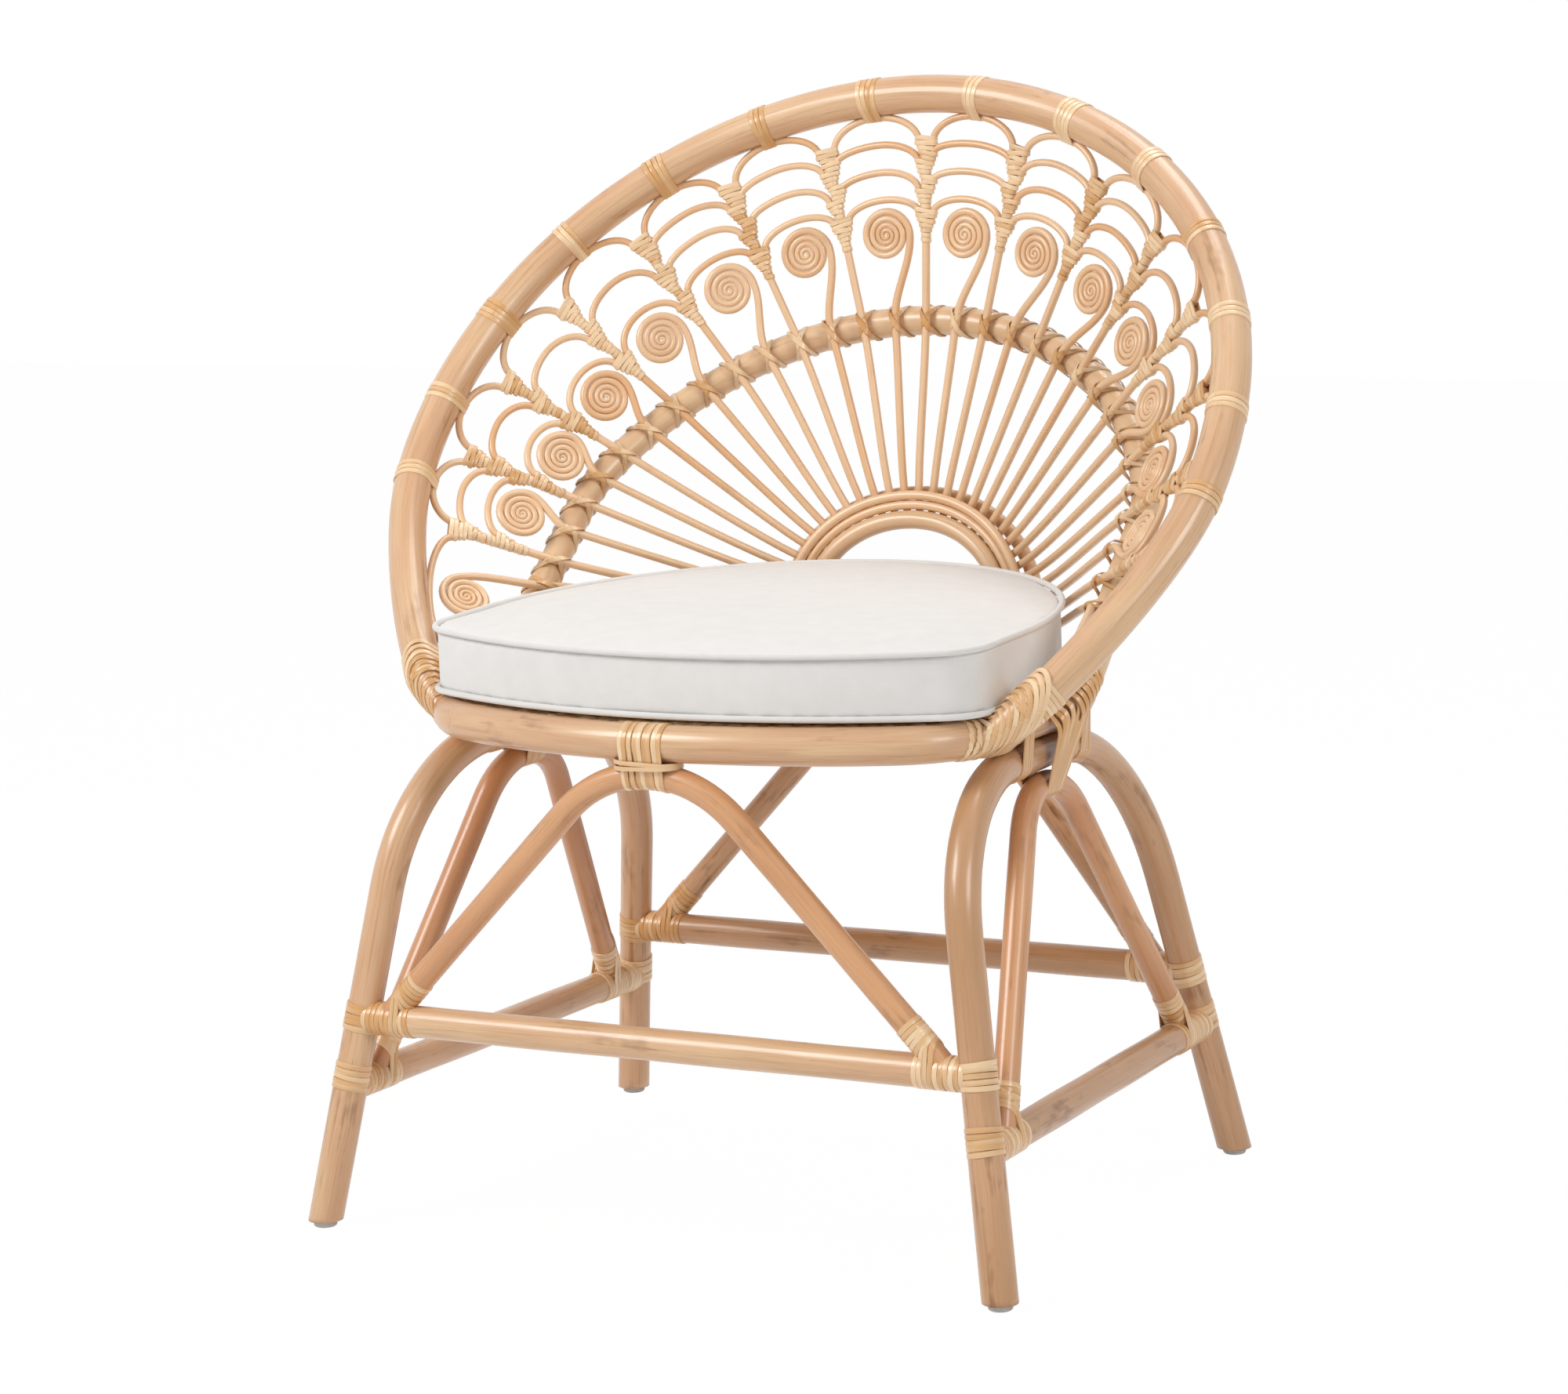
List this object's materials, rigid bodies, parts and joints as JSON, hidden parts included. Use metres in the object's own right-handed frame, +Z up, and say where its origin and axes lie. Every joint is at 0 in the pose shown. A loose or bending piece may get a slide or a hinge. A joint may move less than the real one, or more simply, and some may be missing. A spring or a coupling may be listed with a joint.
{
  "type": "rattan peacock chair",
  "caption": "Rattan easy chair with a round fan-shaped back that sweeps forward into armrests, bent-pole legs with braces, a woven deck and a loose seat cushion.",
  "frame": {"origin": "on the floor, under the middle of the chair's outer box", "axes": "+Z up, -Y the way the chair faces, +X to the right as seen from the front"},
  "size_m": [0.761, 0.5674, 0.9019],
  "materials": {
    "rattan_pole": "satin lacquer",
    "rattan_cane": "satin lacquer",
    "rattan_peel": "satin peel",
    "foot_glide": "moulded",
    "cushion_cloth": "plain weave",
    "cushion_foam": "open cell foam"
  },
  "bodies": {
    "frame": {"rim_hoop": "rattan_pole", "seat_ring": "rattan_pole", "side_arch_left": "rattan_pole", "side_arch_right": "rattan_pole", "back_arch": "rattan_pole", "brace_front": "rattan_pole", "brace_back": "rattan_pole", "brace_left": "rattan_pole", "brace_right": "rattan_pole", "stretcher_front": "rattan_pole", "stretcher_back": "rattan_pole", "stretcher_left": "rattan_pole", "stretcher_right": "rattan_pole", "hub_arch": "rattan_pole", "hub_cane_inner": "rattan_cane", "hub_cane_outer": "rattan_cane", "hub_back_cane": "rattan_cane", "spoke_01": "rattan_cane", "spoke_02": "rattan_cane", "spoke_03": "rattan_cane", "spoke_04": "rattan_cane", "spoke_05": "rattan_cane", "spoke_06": "rattan_cane", "spoke_07": "rattan_cane", "spoke_08": "rattan_cane", "spoke_09": "rattan_cane", "spoke_10": "rattan_cane", "spoke_11": "rattan_cane", "spoke_12": "rattan_cane", "spoke_13": "rattan_cane", "spoke_14": "rattan_cane", "spoke_15": "rattan_cane", "scroll_01": "rattan_cane", "scroll_02": "rattan_cane", "scroll_03": "rattan_cane", "scroll_04": "rattan_cane", "scroll_05": "rattan_cane", "scroll_06": "rattan_cane", "scroll_07": "rattan_cane", "scroll_08": "rattan_cane", "scroll_09": "rattan_cane", "scroll_10": "rattan_cane", "scroll_11": "rattan_cane", "scroll_12": "rattan_cane", "scroll_13": "rattan_cane", "scroll_14": "rattan_cane", "scroll_15": "rattan_cane", "scroll_16": "rattan_cane", "scallop_row_1": "rattan_cane", "scallop_row_2": "rattan_cane", "scallop_row_3": "rattan_cane", "scallop_row_4": "rattan_cane", "seat_deck": "rattan_peel", "lashing_front": "rattan_peel", "glide_front_left": "foot_glide", "glide_back_left": "foot_glide", "glide_front_right": "foot_glide", "glide_back_right": "foot_glide"},
    "cushion": {"cushion_cover": "cushion_cloth", "cushion_foam": "cushion_foam"}
  },
  "joints": [
    {"name": "cushion_slide", "type": "slide", "parent": "frame", "child": "cushion", "axis": [0, -0.9962, 0.0872], "range_m": [0, 0.3]}
  ]
}
